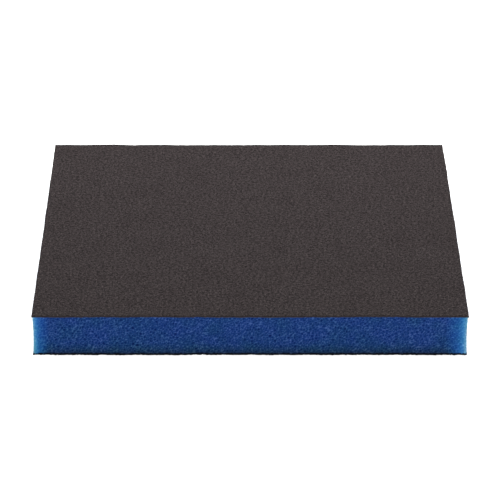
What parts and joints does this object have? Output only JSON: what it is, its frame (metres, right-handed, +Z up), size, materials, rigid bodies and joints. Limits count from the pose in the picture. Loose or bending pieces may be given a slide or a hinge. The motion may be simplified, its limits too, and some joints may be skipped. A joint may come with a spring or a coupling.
{
  "type": "double-sided foam sanding pad",
  "caption": "Thin rectangular flexible sanding pad: an open-cell foam core between abrasive-coated upper and lower faces, for sanding by hand.",
  "frame": {"origin": "centre of the lower abrasive face, which the pad rests on", "axes": "+X along the long side, +Y along the short side, +Z up through the thickness towards the upper abrasive face"},
  "size_m": [0.12, 0.098, 0.013],
  "materials": {
    "foam": "matte",
    "bond_resin": "satin",
    "abrasive": "matte"
  },
  "bodies": {
    "root": {"foam_core": "foam", "upper_bond_coat": "bond_resin", "upper_abrasive_grain": "abrasive", "lower_bond_coat": "bond_resin", "lower_abrasive_grain": "abrasive"}
  },
  "joints": []
}
